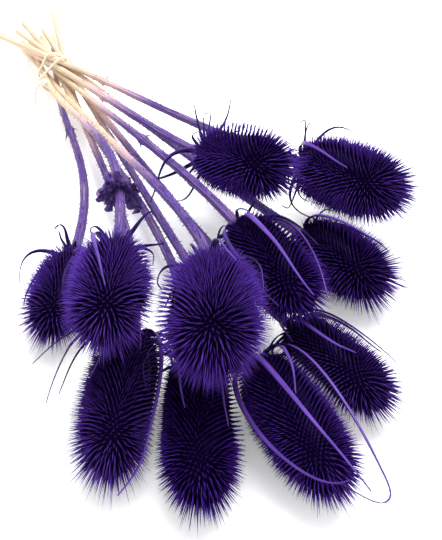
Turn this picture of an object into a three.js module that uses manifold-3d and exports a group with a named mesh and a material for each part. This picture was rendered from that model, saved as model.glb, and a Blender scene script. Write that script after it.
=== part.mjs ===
// A bunch of eleven dyed teasels that lies on a surface: spiny seed heads with their long bracts,
// ribbed and prickly stems that cross at the waist of the bunch, and the string tied round them there.
// Millimetres, +Z up. +Y runs along the bunch from the heads to the cut stem ends, and it lies on z = 0.
import * as THREE from 'three';
import { mergeVertices } from 'three/addons/utils/BufferGeometryUtils.js';
import Module from 'manifold-3d';

const wasm = await Module();
wasm.setup();

// Driving dimensions in millimetres, angles in degrees
const TIE_CENTRE = new THREE.Vector3(-15.5, 208, 17);
const BOX_CENTRE = new THREE.Vector3(4.12, 71.36, 0);
const GAP = 0.3;
const GROUND = { side: 700, depth: 50 };

// Head: how far the spines stand out of the core, and the longer tuft at its tip
const SPINE_LENGTH = 10;
const TUFT_LENGTH = 15;
const SPINE_LEAN = { foot: -12, rise: 40, tip: 62 };
const SPINES_ROUND = 12;
const SPINE_ROWS = 13;
const FOOT_ANGLE = 0.34;
const CORE_END_POWER = 0.85;
const CORE_SIDE_POWER = 0.8;
const PROFILE_STEPS = 24;
const HEAD_ROUNDNESS = 2.4;
const HEAD_MARGIN = 0.1;
const HEAD_LIMIT = 1.06;
const SPINE_CLEARANCE = 0.9;
const SHORTEST_SPINE = 0.3;

// Bract: half width at its root and tip, half its thickness, and where it leaves the head's foot
const BRACT_ROOT_WIDTH = 1.3;
const BRACT_TIP_WIDTH = 0.5;
const BRACT_HALF_DEPTH = 0.6;
const BRACT_FOOT = { out: 3, height: 2, droop: 3 };
const BRACT_STEPS = 5;

// Stem: radius where the bunch is tied, at the neck under the head, and the depth of its ribs
const STEM_TIE_RADIUS = 1.8;
const STEM_NECK_RADIUS = 2.6;
const STEM_RIB = 0.09;
const STEM_SIDES = 8;
const STEM_STEPS = 11;
const PRICKLES = 4;
const PRICKLE_LENGTH = 2.7;
const PRICKLE_RADIUS = 0.6;
const PRICKLE_LEAN = 0.2;
const PRICKLE_RUN = { start: 0.45, end: 0.93 };
const PRICKLE_CLEARANCE = 1.5;
const WIDENING_START = 0.25;

// Joint: the swollen ring on a stem, with the stubs of two side shoots
const JOINT_SWELLING = 1;
const JOINT_LENGTH = 9;
const STUB_LENGTH = 6;
const STUB_RADIUS = 1;
const STUB_TURN = 0.9;
const STUB_LEAN = 0.9;

// Leaf cup: the dried leaf bases round one stem, and how far a leaf stands off it at root, middle and tip
const CUP_LEAVES = 4;
const CUP_LENGTH = 18;
const CUP_HALF_WIDTH = 5;
const CUP_HALF_DEPTH = 0.75;
const CUP_FLARE = { root: 1.5, middle: 6, tip: 9 };

// Tie: a string wound round the stems, its knot and its hanging end
const STRING_RADIUS = 0.8;
const STRING_TURNS = 2.4;
const STRING_PITCH = 8;
const STRING_STEPS = 38;
const STRING_SIDES = 5;
const TAIL_STEPS = 5;
const STRING_CLEARANCE = 0.8;
const KNOT_TURN = 0.75 * Math.PI;
const KNOT_SIZE = [1.7, 2.5, 1.9];
const TAIL_LENGTH = 15;

// Each teasel: the foot of its head, the way the head points (heading 0 is -Y, positive towards +X),
// the head's length and radius over the spines, the stem's place in the tie (across, up) and its length
// beyond it, how strongly the stem bends into the head, and the share of the stem's run with a joint.
// Bracts: turn round the head (0 is up, 90 towards +X), drift of the turn along the bract, how far the
// bract bellies out and its tip stands off as shares of the radius, and its reach as a share of the length.
const TEASELS = [
	{
		foot: [24.5, 74.5, 37], heading: 26, pitch: 16, length: 64, radius: 21,
		slot: [-0.9, 5.9], butt: 64, bend: 0.4, joint: 0.56,
		bracts: [[28, -3, 1.1, 1.18, -0.17], [73, -15, 1.28, 1.1, -0.22], [78, -20, 1.14, 1.64, 0],
			[-49, -58, 1.05, 1.87, -0.13], [-114, 26, 1.45, 1.07, -0.35], [-178, 43, 1.48, 1.37, -0.25]],
	},
	{
		foot: [72.5, 51.5, 31], heading: 28, pitch: 8, length: 72, radius: 21.5,
		slot: [1.8, 9.1], butt: 52, bend: 1.4, joint: 0.38,
		bracts: [[-5, -38, 1.08, 1.19, 0.56], [73, -15, 1.47, 1.15, 0.29], [60, -14, 1.28, 0.95, -0.15],
			[-122, 0, 1.37, 1.2, 0.46], [-177, 25, 1.44, 1.26, -0.07], [130, 10, 1.25, 1.3, 0.5]],
	},
	{
		foot: [54.5, 12.5, 16], heading: 17, pitch: 4, length: 66, radius: 19.5,
		slot: [4.3, 5.9], butt: 50, bend: 0.8, joint: 0,
		bracts: [[0, 20, 1.2, 1, 0.7], [85, 0, 1.1, 1.1, 0.6], [-60, 0, 1.15, 1.05, 0.5]],
	},
	{
		foot: [13.5, 5.5, 43], heading: 4, pitch: 2, length: 68, radius: 20.5,
		slot: [-0.4, 1.7], butt: 52, bend: 0.85, joint: 0.61,
		bracts: [[1, -19, 1.06, 1.16, 1.12], [85, -79, 1.42, 0.8, 1.11], [-85, 41, 1.26, 0.92, 0.72],
			[-51, -17, 1.17, 0.84, 0.9], [75, 0, 1.15, 1.1, 0.55]],
	},
	{
		foot: [-62, 50, 15], heading: -33, pitch: 2, length: 62, radius: 17.5,
		slot: [-2.1, -7.1], butt: 58, bend: 1.4, joint: 0.49,
		bracts: [[-75, 2, 1.54, 1.12, 0.48], [-7, -20, 1.33, 1, -0.05], [30, 0, 1.1, 1, 0.5],
			[-110, 0, 1.15, 1.1, 0.5]],
	},
	{
		foot: [-51.5, 5.5, 55.5], heading: -27, pitch: 4, length: 66, radius: 20.5,
		slot: [-8.9, -0.1], butt: 66, bend: 1.5, joint: 0,
		bracts: [[-38, 44, 1.17, 1.01, 0.73], [98, -1, 1.21, 0.96, -0.16], [47, 16, 1.2, 0.8, -0.27],
			[-95, 0, 1.1, 1.05, 0.4]],
	},
	{
		foot: [-17.5, -27, 54.5], heading: -24, pitch: 12, length: 72, radius: 24,
		slot: [-5, -4.2], butt: 66, bend: 0.64, joint: 0.47,
		bracts: [[-70, 0, 1.1, 1, 0.4], [60, 0, 1.1, 1, 0.4], [0, 20, 1.1, 1, 0.35]],
	},
	{
		foot: [-54.5, -16.5, 18], heading: -30, pitch: 0, length: 87, radius: 20,
		slot: [6.3, -6.9], butt: 90, bend: 0.93, joint: 0,
		bracts: [[-51, -20, 1.15, 2.1, 0.36], [-46, -23, 1.49, 1.6, 0.61], [-74, -2, 1.16, 1.36, 0.55],
			[49, -1, 1.5, 1.03, 1.17], [-20, -5, 1.1, 1.05, 0.48]],
	},
	{
		foot: [-34, -44.6, 19], heading: -22, pitch: 0, length: 84, radius: 21,
		slot: [0.9, -2], butt: 50, bend: 0.97, joint: 0.54,
		bracts: [[30, 0, 1.1, 1, 0.6], [-20, 0, 1.1, 1, 0.5]],
	},
	{
		foot: [-9.5, -57.5, 19], heading: 2, pitch: 0, length: 83, radius: 21,
		slot: [8.4, -3.2], butt: 60, bend: 0.81, joint: 0,
		bracts: [[-14, 11, 1.15, 1.25, 1.16], [45, 63, 1.6, 1, 1.03], [-100, 100, 1.2, 1.2, 1],
			[42, -44, 1.11, 1.03, 0.46]],
	},
	{
		foot: [18, -42, 17], heading: 16, pitch: 0, length: 70, radius: 18.5,
		slot: [4, 2.2], butt: 62, bend: 0.7, joint: 0,
		bracts: [[-20, 10, 1.05, 0.9, 0.6], [40, 10, 1.05, 0.95, 0.8], [85, 0, 1.1, 1, 0.6]],
	},
];
const LEAF_CUP = { teasel: 5, share: 0.83 };

// Materials, from the photographed colours
const DYED_HEAD = new THREE.MeshStandardMaterial({ color: 0x3a1a78, roughness: 0.75, metalness: 0 });
const DYED_STEM = new THREE.MeshStandardMaterial({ color: 0x8a74b8, roughness: 0.7, metalness: 0 });
const PALE_STRING = new THREE.MeshStandardMaterial({ color: 0xe6d6b4, roughness: 0.9, metalness: 0 });

const UP = new THREE.Vector3(0, 0, 1);
const radians = THREE.MathUtils.degToRad;

/** Repeatable random numbers from 0 to 1. */
function seededRandom(seed) {
	let state = seed * 7919 + 17;
	return () => {
		state = (state * 16807) % 2147483647;
		return state / 2147483647;
	};
}

/** Turns a closed geometry into a solid for joins and cuts. */
function toSolid(geometry) {
	const bare = geometry.index ? geometry.clone() : geometry;
	bare.deleteAttribute('normal');
	bare.deleteAttribute('uv');
	const merged = mergeVertices(bare, 1e-4);
	return new wasm.Manifold(new wasm.Mesh({
		numProp: 3,
		vertProperties: Float32Array.from(merged.attributes.position.array),
		triVerts: Uint32Array.from(merged.index.array),
	}));
}

/** Turns a joined or cut solid back into a geometry. */
function toGeometry(solid) {
	const mesh = solid.getMesh();
	const geometry = new THREE.BufferGeometry();
	geometry.setAttribute('position', new THREE.BufferAttribute(mesh.vertProperties, 3));
	geometry.setIndex(new THREE.BufferAttribute(mesh.triVerts, 1));
	geometry.computeVertexNormals();
	return geometry;
}

/** Evenly spaced shares from 0 to 1. */
function evenShares(steps) {
	return Array.from({ length: steps + 1 }, (_, i) => i / steps);
}

/**
 * Bends a closed cylinder along a curve, with a ring of points at each of the given shares of its length.
 * `across` fixes its sideways direction, and `size` gives the half width and half depth at a share of the
 * length and an angle round the section.
 */
function bentRod(curve, across, sides, shares, size) {
	const steps = shares.length - 1;
	const geometry = new THREE.CylinderGeometry(1, 1, 1, sides, steps);
	const position = geometry.attributes.position;
	const width = new THREE.Vector3();
	const depth = new THREE.Vector3();
	for (let i = 0; i < position.count; i++) {
		const share = shares[Math.round((position.getY(i) + 0.5) * steps)];
		const tangent = curve.getTangentAt(share);
		width.copy(across).addScaledVector(tangent, -across.dot(tangent)).normalize();
		depth.crossVectors(width, tangent);
		const [half, deep] = size(share, Math.atan2(position.getX(i), position.getZ(i)));
		const point = curve.getPointAt(share)
			.addScaledVector(width, position.getX(i) * half)
			.addScaledVector(depth, position.getZ(i) * deep);
		position.setXYZ(i, point.x, point.y, point.z);
	}
	return geometry;
}

/** The head's own directions: its axis, its upper side and the side towards +X. */
function headFrame({ heading, pitch, foot }) {
	const level = Math.cos(radians(pitch));
	const axis = new THREE.Vector3(
		Math.sin(radians(heading)) * level, -Math.cos(radians(heading)) * level, Math.sin(radians(pitch)));
	const up = UP.clone().addScaledVector(axis, -UP.dot(axis)).normalize();
	return { foot: new THREE.Vector3(...foot), axis, up, side: new THREE.Vector3().crossVectors(up, axis) };
}

/** A point beside the head's axis, from its distance out, its height along the axis and its turn. */
function besideAxis(frame, out, height, turn) {
	return frame.foot.clone()
		.addScaledVector(frame.axis, height)
		.addScaledVector(frame.up, out * Math.cos(turn))
		.addScaledVector(frame.side, out * Math.sin(turn));
}

/** The stem's line: straight from its cut end through the tie, then bending into the head's axis. */
function stemCurve(teasel) {
	const { axis, foot } = headFrame(teasel);
	const [across, up] = teasel.slot;
	const slot = TIE_CENTRE.clone().add(new THREE.Vector3(across, 0, up));
	const run = foot.clone().sub(slot);
	const third = run.length() / 3;
	const towards = run.normalize();
	const end = foot.clone().addScaledVector(axis, -GAP);
	const path = new THREE.CurvePath();
	path.add(new THREE.LineCurve3(slot.clone().addScaledVector(towards, -teasel.butt), slot));
	path.add(new THREE.CubicBezierCurve3(slot, slot.clone().addScaledVector(towards, third),
		end.clone().addScaledVector(axis, -third * teasel.bend), end));
	return path;
}

/** The stem's radius: even to the tie, then widening softly into the neck under the head. */
function stemRadius(share) {
	const widening = THREE.MathUtils.smoothstep(share, WIDENING_START, 1);
	return THREE.MathUtils.lerp(STEM_TIE_RADIUS, STEM_NECK_RADIUS, widening);
}

const frames = TEASELS.map(headFrame);
const stemCurves = TEASELS.map(stemCurve);
const stemPoints = stemCurves.map((curve) => curve.getSpacedPoints(120));

/** How far out a point lies in a head, as a share of its rounded outline over the spines. */
function headShare(index, point) {
	const { axis, foot } = frames[index];
	const { length, radius } = TEASELS[index];
	const from = point.clone().sub(foot);
	const height = from.dot(axis);
	const out = Math.sqrt(Math.max(0, from.lengthSq() - height * height));
	const along = Math.abs(height - length / 2) / (length / 2);
	return (along ** HEAD_ROUNDNESS + (out / radius) ** HEAD_ROUNDNESS) ** (1 / HEAD_ROUNDNESS);
}

/** The gap from a point to a stem's surface. */
function stemGap(index, point) {
	const points = stemPoints[index];
	let nearest = Infinity;
	points.forEach((other, i) => {
		nearest = Math.min(nearest, point.distanceTo(other) - stemRadius(i / (points.length - 1)));
	});
	return nearest;
}

/** Whether a point of one head keeps clear of all stems and stays on its own side of the other heads. */
function isClear(index, point, clearance) {
	const own = headShare(index, point);
	return TEASELS.every((_, i) => stemGap(i, point) > clearance
		&& (i === index || headShare(i, point) > Math.min(own + HEAD_MARGIN, HEAD_LIMIT)));
}

/** The seed head's core, raised to a spine on every triangle of its surface. */
function spinyCore(index) {
	const { length, radius } = TEASELS[index];
	const frame = frames[index];
	const random = seededRandom(index + 1);
	const coreLength = length - TUFT_LENGTH;
	const coreRadius = radius - SPINE_LENGTH;
	const outline = new THREE.SplineCurve(evenShares(PROFILE_STEPS).map((step) => {
		const angle = THREE.MathUtils.lerp(FOOT_ANGLE, Math.PI, step);
		const along = Math.sign(Math.cos(angle)) * Math.abs(Math.cos(angle)) ** CORE_END_POWER;
		return new THREE.Vector2(coreRadius * Math.sin(angle) ** CORE_SIDE_POWER, coreLength * (1 - along) / 2);
	}));

	// Rings of points, each turned by half a step from the one below it, and the point of the tip
	const rings = outline.getSpacedPoints(SPINE_ROWS).slice(0, SPINE_ROWS).map(({ x: out, y: height }, row) =>
		Array.from({ length: SPINES_ROUND }, (_, column) => {
			const turn = ((column + (row % 2) / 2) / SPINES_ROUND) * 2 * Math.PI;
			return { share: height / coreLength, point: besideAxis(frame, out, height, turn) };
		}));
	const tip = { share: 1, point: besideAxis(frame, 0, coreLength, 0) };

	const cells = [];
	for (let row = 0; row + 1 < SPINE_ROWS; row++) {
		for (let column = 0; column < SPINES_ROUND; column++) {
			const next = (column + 1) % SPINES_ROUND;
			const [low, high] = [rings[row], rings[row + 1]];
			const [a, b] = row % 2 ? [high[next], low[next]] : [high[column], low[next]];
			cells.push([low[column], a, b]);
			cells.push(row % 2 ? [low[column], high[column], high[next]] : [low[next], high[column], high[next]]);
		}
	}
	const last = rings[SPINE_ROWS - 1];
	last.forEach((corner, column) => cells.push([corner, tip, last[(column + 1) % SPINES_ROUND]]));

	const corners = [];
	const face = (a, b, c) => corners.push(...a.toArray(), ...b.toArray(), ...c.toArray());
	for (const [a, b, c] of cells) {
		const share = (a.share + b.share + c.share) / 3;
		const middle = a.point.clone().add(b.point).add(c.point).divideScalar(3);
		const point = raisedSpine(index, middle, share, random);
		face(a.point, b.point, point);
		face(b.point, c.point, point);
		face(c.point, a.point, point);
	}
	const foot = besideAxis(frame, 0, rings[0][0].share * coreLength, 0);
	rings[0].forEach((corner, column) => face(corner.point, rings[0][(column + 1) % SPINES_ROUND].point, foot));

	const geometry = new THREE.BufferGeometry();
	geometry.setAttribute('position', new THREE.Float32BufferAttribute(corners, 3));
	return geometry;
}

/** A spine's tip: it leans more to the head's tip the nearer it is, and stops short of its neighbours. */
function raisedSpine(index, root, share, random) {
	const { foot, axis } = frames[index];
	const lean = radians(SPINE_LEAN.foot + SPINE_LEAN.rise * share + SPINE_LEAN.tip * share ** 6);
	const outward = root.clone().sub(foot);
	outward.addScaledVector(axis, -outward.dot(axis)).normalize();
	const direction = outward.multiplyScalar(Math.cos(lean)).addScaledVector(axis, Math.sin(lean));
	const full = (SPINE_LENGTH * (0.9 + 0.15 * share) + (TUFT_LENGTH - SPINE_LENGTH) * share ** 5)
		* (0.92 + 0.16 * random());
	for (let part = 1; part > SHORTEST_SPINE; part -= 0.1) {
		const tip = root.clone().addScaledVector(direction, full * part);
		const middle = root.clone().addScaledVector(direction, full * part / 2);
		if (isClear(index, tip, SPINE_CLEARANCE) && isClear(index, middle, 2 * SPINE_CLEARANCE)) return tip;
	}
	return root.clone().addScaledVector(direction, full * SHORTEST_SPINE);
}

/** A bract: a narrow ridged blade that leaves the head's foot, bellies out and curves along the head. */
function bract(index, [turnDegrees, driftDegrees, belly, tipOut, reach]) {
	const { length, radius } = TEASELS[index];
	const frame = frames[index];
	const turn = radians(turnDegrees);
	const drift = radians(driftDegrees);
	const height = reach * length;
	const curve = new THREE.CubicBezierCurve3(
		besideAxis(frame, BRACT_FOOT.out, BRACT_FOOT.height, turn),
		besideAxis(frame, belly * radius, Math.min(0, height) - BRACT_FOOT.droop, turn),
		besideAxis(frame, (belly + tipOut) / 2 * radius * 1.05, height * 0.55, turn + 0.6 * drift),
		besideAxis(frame, tipOut * radius, height, turn + drift));
	const across = frame.side.clone().multiplyScalar(Math.cos(turn + drift / 2))
		.addScaledVector(frame.up, -Math.sin(turn + drift / 2));
	return bentRod(curve, across, 3, evenShares(BRACT_STEPS), (share) => [
		THREE.MathUtils.lerp(BRACT_ROOT_WIDTH, BRACT_TIP_WIDTH, share), BRACT_HALF_DEPTH,
	]);
}

const ground = toSolid(new THREE.BoxGeometry(GROUND.side, GROUND.side, GROUND.depth)
	.translate(0, BOX_CENTRE.y, -GROUND.depth / 2));

/** One seed head: spiny core and bracts grown together, pressed flat where it lies on the surface. */
function seedHead(index) {
	let solid = toSolid(spinyCore(index));
	for (const shape of TEASELS[index].bracts) solid = solid.add(toSolid(bract(index, shape)));
	return solid.subtract(ground);
}

/** A cone that stands on a stem, from its place along the stem, its turn, lean and size. */
function stemCone(index, share, turn, lean, radius, length, sides) {
	const curve = stemCurves[index];
	const along = curve.getTangentAt(share);
	const side = new THREE.Vector3().crossVectors(UP, along).normalize();
	const up = new THREE.Vector3().crossVectors(along, side);
	const out = side.multiplyScalar(Math.cos(turn)).addScaledVector(up, Math.sin(turn));
	const direction = out.clone().multiplyScalar(Math.cos(lean)).addScaledVector(along, Math.sin(lean));
	const root = curve.getPointAt(share).addScaledVector(out, stemRadius(share) * 0.7);
	const geometry = new THREE.ConeGeometry(radius, length, sides).translate(0, length / 2, 0);
	geometry.applyQuaternion(new THREE.Quaternion().setFromUnitVectors(new THREE.Vector3(0, 1, 0), direction));
	return { geometry: geometry.translate(...root.toArray()), tip: root.addScaledVector(direction, length) };
}

/** Prickles on the free run of the stem, left out where another stem or head is in their way. */
function prickles(index) {
	const random = seededRandom(index + 101);
	const cones = [];
	for (let i = 0; i < PRICKLES; i++) {
		const share = THREE.MathUtils.lerp(PRICKLE_RUN.start, PRICKLE_RUN.end, (i + random()) / PRICKLES);
		const turn = 2 * Math.PI * random();
		const { geometry, tip } = stemCone(index, share, turn, PRICKLE_LEAN, PRICKLE_RADIUS, PRICKLE_LENGTH, 3);
		const free = TEASELS.every((_, other) => other === index
			|| (stemGap(other, tip) > PRICKLE_CLEARANCE && headShare(other, tip) > HEAD_LIMIT));
		if (free) cones.push(geometry);
	}
	return cones;
}

/** The stubs of the two side shoots at a stem's joint. */
function stubs(index, share) {
	return [STUB_TURN, STUB_TURN + Math.PI].map((turn) =>
		stemCone(index, share, turn, STUB_LEAN, STUB_RADIUS, STUB_LENGTH, 4).geometry);
}

/** The dried leaf bases that cup a stem: short curled blades that flare towards the head. */
function leafCup(index, share) {
	const curve = stemCurves[index];
	const along = curve.getTangentAt(share);
	const side = new THREE.Vector3().crossVectors(UP, along).normalize();
	const up = new THREE.Vector3().crossVectors(along, side);
	const start = curve.getPointAt(share);
	return Array.from({ length: CUP_LEAVES }, (_, i) => {
		const turn = ((i + 0.5) / CUP_LEAVES) * 2 * Math.PI;
		const out = side.clone().multiplyScalar(Math.cos(turn)).addScaledVector(up, Math.sin(turn));
		const place = (distance, height) => start.clone()
			.addScaledVector(out, distance).addScaledVector(along, height);
		const line = new THREE.QuadraticBezierCurve3(
			place(CUP_FLARE.root, -0.2 * CUP_LENGTH), place(CUP_FLARE.middle, 0.3 * CUP_LENGTH),
			place(CUP_FLARE.tip, 0.8 * CUP_LENGTH));
		const across = new THREE.Vector3().crossVectors(out, along);
		return bentRod(line, across, 4, evenShares(3), (part) => [
			CUP_HALF_WIDTH * (0.55 + 1.3 * part * (1 - part)), CUP_HALF_DEPTH,
		]);
	});
}

/** One stem: ribbed, with its prickles and, where it has them, its joint and leaf cup. */
function stem(index) {
	const { joint } = TEASELS[index];
	const turnStep = (2 * Math.PI) / STEM_SIDES;
	const jointReach = JOINT_LENGTH / 2 / stemCurves[index].getLength();
	const shares = evenShares(STEM_STEPS);
	if (joint) shares.push(joint - jointReach, joint, joint + jointReach);
	shares.sort((a, b) => a - b);
	const line = bentRod(stemCurves[index], UP, STEM_SIDES, shares, (share, angle) => {
		const crest = Math.round(angle / turnStep) % 2 === 0;
		const swelling = joint && share === joint ? JOINT_SWELLING : 0;
		const radius = (stemRadius(share) + swelling) * (crest ? 1 : 1 - STEM_RIB);
		return [radius, radius];
	});
	let solid = toSolid(line);
	const grown = prickles(index);
	if (joint) grown.push(...stubs(index, joint));
	if (LEAF_CUP.teasel === index) grown.push(...leafCup(index, LEAF_CUP.share));
	for (const geometry of grown) solid = solid.add(toSolid(geometry));
	return solid.subtract(ground);
}

/** A point of the taut string: it rests on the outermost stem in its direction from the tie's middle. */
function stringPoint(turn, y) {
	const direction = new THREE.Vector3(Math.cos(turn), 0, Math.sin(turn));
	const points = TEASELS.map(({ slot: [across, up] }, index) => {
		const slot = TIE_CENTRE.clone().add(new THREE.Vector3(across, 0, up));
		const towards = frames[index].foot.clone().sub(slot).normalize();
		const slantedRadius = STEM_TIE_RADIUS / Math.abs(towards.y);
		return slot.addScaledVector(towards, (y - slot.y) / towards.y)
			.addScaledVector(direction, slantedRadius + STRING_RADIUS + STRING_CLEARANCE);
	});
	return points.reduce((far, point) => (point.dot(direction) > far.dot(direction) ? point : far));
}

/** The tie: a string wound round the stems, with its knot and its hanging end. */
function tie() {
	const points = Array.from({ length: STRING_STEPS + 1 }, (_, i) => {
		const turns = STRING_TURNS * (i / STRING_STEPS);
		const y = TIE_CENTRE.y + (turns - STRING_TURNS / 2) * STRING_PITCH;
		return stringPoint(KNOT_TURN + turns * 2 * Math.PI, y);
	});
	const wound = new THREE.CatmullRomCurve3(points, false, 'centripetal');
	const round = (radius) => () => [radius, radius];
	const level = new THREE.Vector3(0, 1, 0);
	let solid = toSolid(bentRod(wound, level, STRING_SIDES, evenShares(STRING_STEPS), round(STRING_RADIUS)));
	const knotPlace = points[0];
	const knot = new THREE.IcosahedronGeometry(1, 0).scale(...KNOT_SIZE).translate(...knotPlace.toArray());
	const tail = new THREE.QuadraticBezierCurve3(knotPlace,
		knotPlace.clone().add(new THREE.Vector3(-6, -2, 1)),
		knotPlace.clone().add(new THREE.Vector3(-8, -5, 3 - TAIL_LENGTH)));
	solid = solid.add(toSolid(knot));
	return solid.add(toSolid(bentRod(tail, level, STRING_SIDES, evenShares(TAIL_STEPS), round(STRING_RADIUS))));
}

const bunch = new THREE.Group();
bunch.name = 'teasel_bunch';
bunch.position.copy(BOX_CENTRE).negate();

function addPiece(name, solid, material) {
	const mesh = new THREE.Mesh(toGeometry(solid), material);
	mesh.name = name;
	bunch.add(mesh);
}

TEASELS.forEach((_, index) => {
	const number = String(index + 1).padStart(2, '0');
	addPiece(`teasel_head_${number}`, seedHead(index), DYED_HEAD);
	addPiece(`teasel_stem_${number}`, stem(index), DYED_STEM);
});
addPiece('tie', tie(), PALE_STRING);

export default bunch;
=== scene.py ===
"""Dresses a lying, tied bunch of violet-dyed teasels around its solid model.

The solids give each head, stem and the tie its place. This script replaces them with finer surfaces that
follow the same lines: dense awl-shaped spines and curved bracts, ribbed prickly stems whose dye fades to
straw, a crumpled leaf cup and a twisted string. Lengths are in millimetres until a mesh is made.
"""

import logging
import math
from dataclasses import dataclass, field
from enum import Enum

import bpy
import numpy as np
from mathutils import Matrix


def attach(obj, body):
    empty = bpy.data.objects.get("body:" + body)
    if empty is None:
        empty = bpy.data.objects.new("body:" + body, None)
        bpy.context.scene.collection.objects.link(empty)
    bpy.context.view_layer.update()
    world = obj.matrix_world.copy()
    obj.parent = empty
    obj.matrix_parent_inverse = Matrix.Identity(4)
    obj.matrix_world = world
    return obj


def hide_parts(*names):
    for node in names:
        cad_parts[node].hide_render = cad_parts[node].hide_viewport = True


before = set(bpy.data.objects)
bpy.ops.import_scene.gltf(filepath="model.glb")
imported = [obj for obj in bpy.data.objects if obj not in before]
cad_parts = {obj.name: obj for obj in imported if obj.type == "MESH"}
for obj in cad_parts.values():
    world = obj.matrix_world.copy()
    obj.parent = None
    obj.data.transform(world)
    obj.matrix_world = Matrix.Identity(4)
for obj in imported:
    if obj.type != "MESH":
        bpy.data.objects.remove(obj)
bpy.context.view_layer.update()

LOG = logging.getLogger("teasel_bunch")
Array = np.ndarray
Colour = tuple[float, float, float]

MM = 0.001
UP = np.array([0.0, 0.0, 1.0])
GOLDEN_TURN = math.pi * (3.0 - math.sqrt(5.0))
FLOOR_CLEARANCE = 0.03
FULL_TURN = 2 * math.pi
CURVE_STEPS = 200
HEAD_ROUNDNESS = 2.4

# The bunch's own layout, shared with the solid model
TIE_CENTRE = np.array([-15.5, 208.0, 17.0])
BOX_CENTRE = np.array([4.12, 71.36, 0.0])
STEM_GAP = 0.3


class MaterialSlot(Enum):
    """The record's material slots."""

    HEAD = "dyed_head"
    STEM = "dyed_stem"
    STRING = "string"


@dataclass(frozen=True)
class Bract:
    """A long leaf-like blade that leaves a head's foot and curves along it.

    turn and drift are degrees round the head, belly and tip_out shares of its radius, reach of its length.
    late is the share of the drift before the tip, and hook the degrees that the tip curls aside, by chance
    if None.
    """

    turn: float
    drift: float
    belly: float
    tip_out: float
    reach: float
    late: float = 0.6
    hook: float | None = None


@dataclass(frozen=True)
class Look:
    """How one teasel took the dye and how its spines stand.

    straw is the undyed stretch of the stem past the tie. pale says how far the spines' tips fade, and the
    third value is a painted shade that darkens the head towards its foot. tuft is the spines' length at the
    tip, shag their extra length beside it.
    """

    straw: float
    pale: float
    # painted shade that darkens the head towards its foot
    painted_foot_shade: float
    tuft: float
    shag: float


@dataclass(frozen=True)
class Teasel:
    """Where one teasel lies: its head's foot, direction and size, and its stem's way through the tie."""

    number: int
    foot: tuple[float, float, float]
    heading: float
    pitch: float
    length: float
    radius: float
    slot: tuple[float, float]
    butt: float
    bend: float
    joint: float
    look: Look
    bracts: tuple[Bract, ...]
    axis: Array = field(init=False, compare=False)
    up: Array = field(init=False, compare=False)
    side: Array = field(init=False, compare=False)

    def __post_init__(self) -> None:
        """Works out the head's own directions: its axis, its upper side and the side towards +X."""
        heading, pitch = math.radians(self.heading), math.radians(self.pitch)
        level = math.cos(pitch)
        axis = np.array([math.sin(heading) * level, -math.cos(heading) * level, math.sin(pitch)])
        up = unit(UP - (UP @ axis) * axis)
        object.__setattr__(self, "axis", axis)
        object.__setattr__(self, "up", up)
        object.__setattr__(self, "side", np.cross(up, axis))

    @property
    def label(self) -> str:
        """The teasel's two-digit number."""
        return f"{self.number:02d}"

    def beside_axis(self, out: Array | float, height: Array | float, turn: Array | float) -> Array:
        """Gives points beside the head's axis.

        Args:
            out: Distance from the axis.
            height: Distance along the axis from the foot.
            turn: Angle round the axis in radians, 0 at the upper side.

        Returns:
            The points, one for each value.
        """
        out, height, turn = (np.asarray(v, dtype=float)[..., None] for v in (out, height, turn))
        return (np.array(self.foot) + self.axis * height
                + self.up * out * np.cos(turn) + self.side * out * np.sin(turn))

    def head_share(self, points: Array) -> Array:
        """Gives how far out points lie in the head, as a share of its rounded outline over the spines."""
        relative = points - np.array(self.foot)
        height = relative @ self.axis
        out = np.sqrt(np.maximum((relative ** 2).sum(-1) - height ** 2, 0.0))
        along = np.abs(height - self.length / 2) / (self.length / 2)
        return (along ** HEAD_ROUNDNESS + (out / self.radius) ** HEAD_ROUNDNESS) ** (1 / HEAD_ROUNDNESS)

    def slot_point(self) -> Array:
        """Gives the point where the stem passes the middle of the tie."""
        return TIE_CENTRE + np.array([self.slot[0], 0.0, self.slot[1]])

    def stem_line(self, steps: int) -> Array:
        """Gives the stem's line: straight from the cut end through the tie, then bending into the axis.

        Args:
            steps: Number of points, evenly spaced along the line.

        Returns:
            The points from the cut end to the head's foot.
        """
        foot, slot = np.array(self.foot), self.slot_point()
        third = np.linalg.norm(foot - slot) / 3
        towards = unit(foot - slot)
        end = foot - self.axis * STEM_GAP
        bent = bezier(slot, slot + towards * third, end - self.axis * third * self.bend, end, CURVE_STEPS)
        return even_along(np.vstack([slot - towards * self.butt, bent]), steps)


def unit(vectors: Array) -> Array:
    """Gives vectors of length one in the same directions."""
    return vectors / np.maximum(np.linalg.norm(vectors, axis=-1, keepdims=True), 1e-12)


def smoothstep(low: float, high: float, value: Array) -> Array:
    """Gives a soft rise from 0 below low to 1 above high."""
    share = np.clip((value - low) / (high - low), 0.0, 1.0)
    return share * share * (3.0 - 2.0 * share)


def bezier(a: Array, b: Array, c: Array, d: Array, steps: int) -> Array:
    """Gives points of the cubic curve with the four control points a, b, c and d."""
    t = np.linspace(0.0, 1.0, steps)[:, None]
    return (1 - t) ** 3 * a + 3 * (1 - t) ** 2 * t * b + 3 * (1 - t) * t ** 2 * c + t ** 3 * d


def read_between(wanted: Array, places: Array, points: Array) -> Array:
    """Gives the points or vectors at wanted places, read between those known at rising places."""
    return np.stack([np.interp(wanted, places, points[:, k]) for k in range(3)], axis=-1)


def even_along(path: Array, steps: int) -> Array:
    """Gives points evenly spaced along a path."""
    travelled = np.concatenate([[0.0], np.cumsum(np.linalg.norm(np.diff(path, axis=0), axis=1))])
    return read_between(np.linspace(0.0, travelled[-1], steps), travelled, path)


def path_length(path: Array) -> float:
    """Gives the length of a path."""
    return float(np.linalg.norm(np.diff(path, axis=0), axis=1).sum())


def full_circle(steps: int) -> Array:
    """Gives evenly spaced angles once round."""
    return np.linspace(0.0, FULL_TURN, steps, endpoint=False)


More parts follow.
